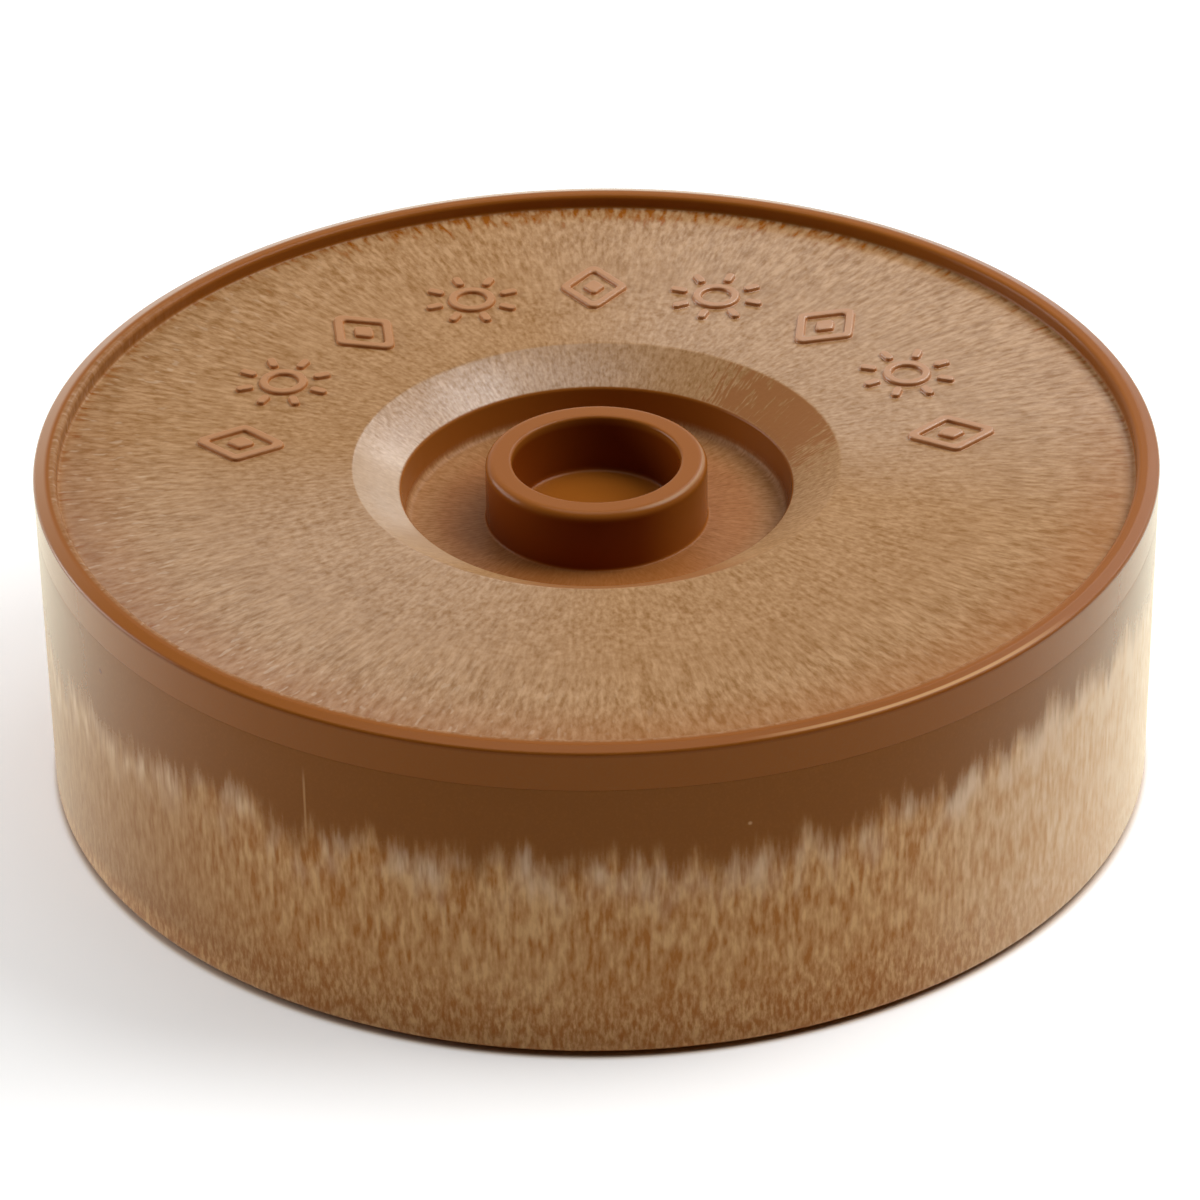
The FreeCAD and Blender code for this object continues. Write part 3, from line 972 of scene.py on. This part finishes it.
class SERVER_OT_lid(bpy.types.Operator):
    """Turns the lid with its rim bead, band, spigot, finger well and ring knob"""

    bl_idname = "server.lid"
    bl_label = "Lid"

    def under(self, outer, lid):
        """Corners from the axis out to the lower edge of the band."""
        seam = outer.rim_radius - outer.band_set_in
        spigot = seam - outer.base_wall - lid.spigot_clearance
        mouth = lid.well_rim_radius - lid.well_bevel_width
        floor = mouth - lid.well_draft
        plate_under = outer.crown_height - lid.bead_rise - lid.plate
        tip = outer.seam_height - lid.spigot_depth
        gate = outer.well_under + outer.gate_depth
        return [
            (0, gate, 0),
            (outer.gate_radius - outer.gate_draft, gate, 0),
            (outer.gate_radius, outer.well_under, 0),
            (floor + lid.well_wall, outer.well_under, lid.well_under_round),
            (mouth + lid.well_wall, plate_under - lid.well_bevel_drop, lid.under_round),
            (lid.well_rim_radius + lid.well_wall, plate_under, lid.well_under_round),
            (spigot - lid.spigot_wall, plate_under, lid.under_round),
            (spigot - lid.spigot_wall, tip, lid.spigot_tip_round),
            (spigot, tip, lid.spigot_tip_round),
            (spigot, outer.seam_height, 0),
            (seam - outer.seam_chamfer, outer.seam_height, 0),
            (seam, outer.seam_height + outer.seam_chamfer, 0),
        ]

    def top(self, outer, lid):
        """Corners from the bead in to the axis."""
        bead = outer.rim_radius - outer.bead_width
        plate = outer.crown_height - lid.bead_rise
        mouth = lid.well_rim_radius - lid.well_bevel_width
        well = plate - lid.well_depth
        knob = well + lid.knob_height
        cup = knob - lid.cup_depth
        hole = lid.knob_radius - lid.knob_wall
        return [
            (outer.rim_radius, outer.crown_height - lid.bead_fall, lid.bead_outer_round),
            (bead + lid.bead_crown_width, outer.crown_height, lid.bead_crown_round),
            (bead, outer.crown_height, lid.bead_inner_round),
            (bead, plate, lid.bead_root_round),
            (lid.well_rim_radius, plate, lid.well_rim_round),
            (mouth, plate - lid.well_bevel_drop, lid.well_edge_round),
            (mouth - lid.well_draft, well, lid.well_root_round),
            (lid.knob_radius, well, lid.knob_root_round),
            (lid.knob_radius, knob, lid.knob_edge_round),
            (hole, knob, lid.knob_mouth_round),
            (hole - lid.cup_draft, cup, lid.cup_root_round),
            (0, cup, 0),
        ]

    def execute(self, context):
        outer, lid = context.scene.server_outer, context.scene.server_lid
        profile = outline(self.under(outer, lid) + self.top(outer, lid), outer.micro_round)
        points, faces = turned(profile, outer.turns)
        piece = finished("lid_shell", points, faces, "lid")
        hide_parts("lid")
        return {"FINISHED"}


class SERVER_OT_ornaments(bpy.types.Operator):
    """Raises diamonds and suns in turn on the back of the lid"""

    bl_idname = "server.ornaments"
    bl_label = "Ornaments"

    def diamond(self, relief, place):
        """Outlined diamond with a small solid one at its heart."""
        profile = raised_line(relief)
        half = np.array([relief.diamond_length, relief.diamond_width]) / 2
        tips = np.array([(1, 0), (0, 1), (-1, 0), (0, -1)], float)
        inset = relief.stroke / 2 * np.hypot(*half) / (half[0] * half[1])
        rings = offset_polygon(tips * half * (1 - inset), profile[:, 0], relief.corner_round)
        frame_part = loop_part(place(rings, profile[:, 1]))
        heart = np.array([relief.heart_length, relief.heart_width]) / 2
        edge = raised_edge(relief, BOSS_DEPTH * heart[0] * heart[1] / np.hypot(*heart))
        rings = offset_polygon(tips * heart, edge[:, 0], relief.corner_round)
        return [frame_part, boss_part(place(rings, edge[:, 1]))]

    def sun(self, relief, place):
        """Ring with straight rays standing clear all round it."""
        profile = raised_line(relief)
        rings = offset_circle(relief.ring_radius - relief.stroke / 2, profile[:, 0])
        parts = [loop_part(place(rings, profile[:, 1]))]
        half = relief.stroke / 2
        start, end = relief.ray_start, relief.ray_end
        bar = [(start, -half), (end, -half), (end, half), (start, half)]
        edge = raised_edge(relief, BOSS_DEPTH * half)
        rings = offset_polygon(np.array(bar), edge[:, 0], relief.corner_round)
        for k in range(relief.rays):
            parts.append(boss_part(place(rings, edge[:, 1], spin=k * 2 * math.pi / relief.rays)))
        return parts

    def execute(self, context):
        outer, lid = context.scene.server_outer, context.scene.server_lid
        relief = context.scene.server_relief
        plate = outer.crown_height - lid.bead_rise
        for k in range(relief.count):
            azimuth = math.pi / 2 + (k - (relief.count - 1) / 2) * relief.pitch

            def place(rings, heights, spin=0.0):
                return placed(rings, heights, relief, plate, spin, azimuth)

            kind, motif = ("diamond", self.diamond) if k % 2 == 0 else ("sun", self.sun)
            points, faces = merged(motif(relief, place))
            finished(f"{kind}_{k // 2 + 1}", points, faces, "lid")
        return {"FINISHED"}


# Azimuth and elevation in degrees, distance and diameter in metres.
LAMPS = {
    "key": (12, 53, 1.2, 0.8),
    "back": (60, 40, 1.2, 0.6),
    "top": (90, 80, 1.3, 1.0),
    "fill": (165, 15, 0.95, 0.7),
}
AIM_BELOW_CROWN = 0.9 * MM


class SERVER_OT_stage(bpy.types.Operator):
    """Lays the floor, hangs the lamps and sets up the camera"""

    bl_idname = "server.stage"
    bl_label = "Stage"

    def floor(self, glow, footprint):
        """A large square floor under the object."""
        mesh = bpy.data.meshes.new("floor")
        corners = [(-1, -1), (1, -1), (1, 1), (-1, 1)]
        points = [(x * FLOOR_HALF, y * FLOOR_HALF, 0) for x, y in corners]
        mesh.from_pydata(points, [], [(0, 1, 2, 3)])
        mesh.materials.append(floor_material(glow, footprint))
        floor = bpy.data.objects.new("floor", mesh)
        bpy.context.scene.collection.objects.link(floor)
        floor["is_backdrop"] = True

    def surroundings(self, mirrored):
        """White to the camera, and in reflections bright behind the object and dark in front."""
        world = bpy.data.worlds.new("studio")
        bpy.context.scene.world = world
        world.use_nodes = True
        world.node_tree.nodes.clear()
        tree = world.node_tree
        camera = node(tree, "ShaderNodeLightPath", output="Is Camera Ray")
        direction = node(tree, "ShaderNodeTexCoord", output="Generated")
        glossy, side = camera["Is Glossy Ray"], node(tree, "ShaderNodeSeparateXYZ", {0: direction})
        behind = side["Y"].ramp(-0.5, 0.5, 0.1 * mirrored, mirrored)
        strength = camera.most(camera["Is Transmission Ray"], glossy * behind)
        warm = glossy.mix((1.0, 1.0, 1.0), (1.0, 0.99, 0.96))
        back = node(tree, "ShaderNodeBackground", {"Color": warm, "Strength": strength})
        node(tree, "ShaderNodeOutputWorld", {"Surface": back})

    def lamp(self, name, azimuth, elevation, distance, size, power):
        """A round soft lamp that looks at the middle of the floor."""
        data = bpy.data.lights.new(name, "AREA")
        data.shape = "DISK"
        data.size = size
        data.energy = power
        azimuth, elevation = math.radians(azimuth), math.radians(elevation)
        flat = math.cos(elevation)
        away = Vector((flat * math.cos(azimuth), flat * math.sin(azimuth), math.sin(elevation)))
        lamp = bpy.data.objects.new(name, data)
        lamp.location = away * distance
        lamp.rotation_mode = "QUATERNION"
        lamp.rotation_quaternion = (-away).to_track_quat("-Z", "Y")
        bpy.context.scene.collection.objects.link(lamp)

    def camera(self, stage, target):
        """A camera in front of the target, turned a little off it."""
        data = bpy.data.cameras.new("camera")
        data.sensor_width = 36.0
        data.lens = stage.lens
        camera = bpy.data.objects.new("camera", data)
        bpy.context.scene.collection.objects.link(camera)
        away = Vector((0, -math.cos(stage.elevation), math.sin(stage.elevation)))
        aim = (-away).to_track_quat("-Z", "Y").to_matrix()
        turn = Matrix.Rotation(stage.tilt, 3, "X") @ Matrix.Rotation(-stage.pan, 3, "Y")
        turn = turn @ Matrix.Rotation(stage.roll, 3, "Z")
        camera.rotation_mode = "QUATERNION"
        camera.rotation_quaternion = (aim @ turn).to_quaternion()
        camera.location = target + away * stage.distance
        bpy.context.scene.camera = camera

    def execute(self, context):
        stage, outer = context.scene.server_stage, context.scene.server_outer
        self.floor(stage.glow, outer.rim_radius - outer.band_set_in - outer.base_taper)
        self.surroundings(stage.mirrored)
        for name, place in LAMPS.items():
            self.lamp(name, *place, getattr(stage, f"{name}_power"))
        self.camera(stage, Vector((0, 0, outer.crown_height - AIM_BELOW_CROWN)))
        context.scene.view_settings.view_transform = "Standard"
        return {"FINISHED"}


class SERVER_PT_panel(bpy.types.Panel):
    """Sizes, finishes and steps of the server"""

    bl_idname = "SERVER_PT_panel"
    bl_label = "Server"
    bl_space_type = "VIEW_3D"
    bl_region_type = "UI"
    bl_category = "Server"

    def draw(self, context):
        for name, (_, label) in SETTINGS.items():
            box = self.layout.box()
            box.label(text=label)
            settings = getattr(context.scene, name)
            for key in settings.bl_rna.properties.keys():
                if key not in ("name", "rna_type"):
                    box.prop(settings, key)
        for step in STEPS:
            self.layout.operator(step.bl_idname)


SETTINGS = {
    "server_outer": (OuterSizes, "Bowl and lid"),
    "server_bowl": (BowlSizes, "Bowl"),
    "server_lid": (LidSizes, "Lid"),
    "server_relief": (ReliefSizes, "Ornaments"),
    "server_finish": (FoamFinish, "Plastic"),
    "server_stage": (StageSettings, "Stage"),
}
STEPS = [SERVER_OT_finishes, SERVER_OT_bowl, SERVER_OT_lid, SERVER_OT_ornaments, SERVER_OT_stage]


def register():
    for kind, _ in SETTINGS.values():
        bpy.utils.register_class(kind)
    for step in STEPS:
        bpy.utils.register_class(step)
    bpy.utils.register_class(SERVER_PT_panel)
    for name, (kind, _) in SETTINGS.items():
        setattr(bpy.types.Scene, name, PointerProperty(type=kind))


def unregister():
    for name in SETTINGS:
        delattr(bpy.types.Scene, name)
    bpy.utils.unregister_class(SERVER_PT_panel)
    for step in reversed(STEPS):
        bpy.utils.unregister_class(step)
    for kind, _ in reversed(SETTINGS.values()):
        bpy.utils.unregister_class(kind)


def main():
    register()
    bpy.ops.server.finishes()
    bpy.ops.server.bowl()
    bpy.ops.server.lid()
    bpy.ops.server.ornaments()
    bpy.ops.server.stage()
    boxes = {"cad": CAD_BOX, "visual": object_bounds()}
    sizes = {name: [list(low), list(high)] for name, (low, high) in boxes.items()}


if __name__ == "__main__":
    main()
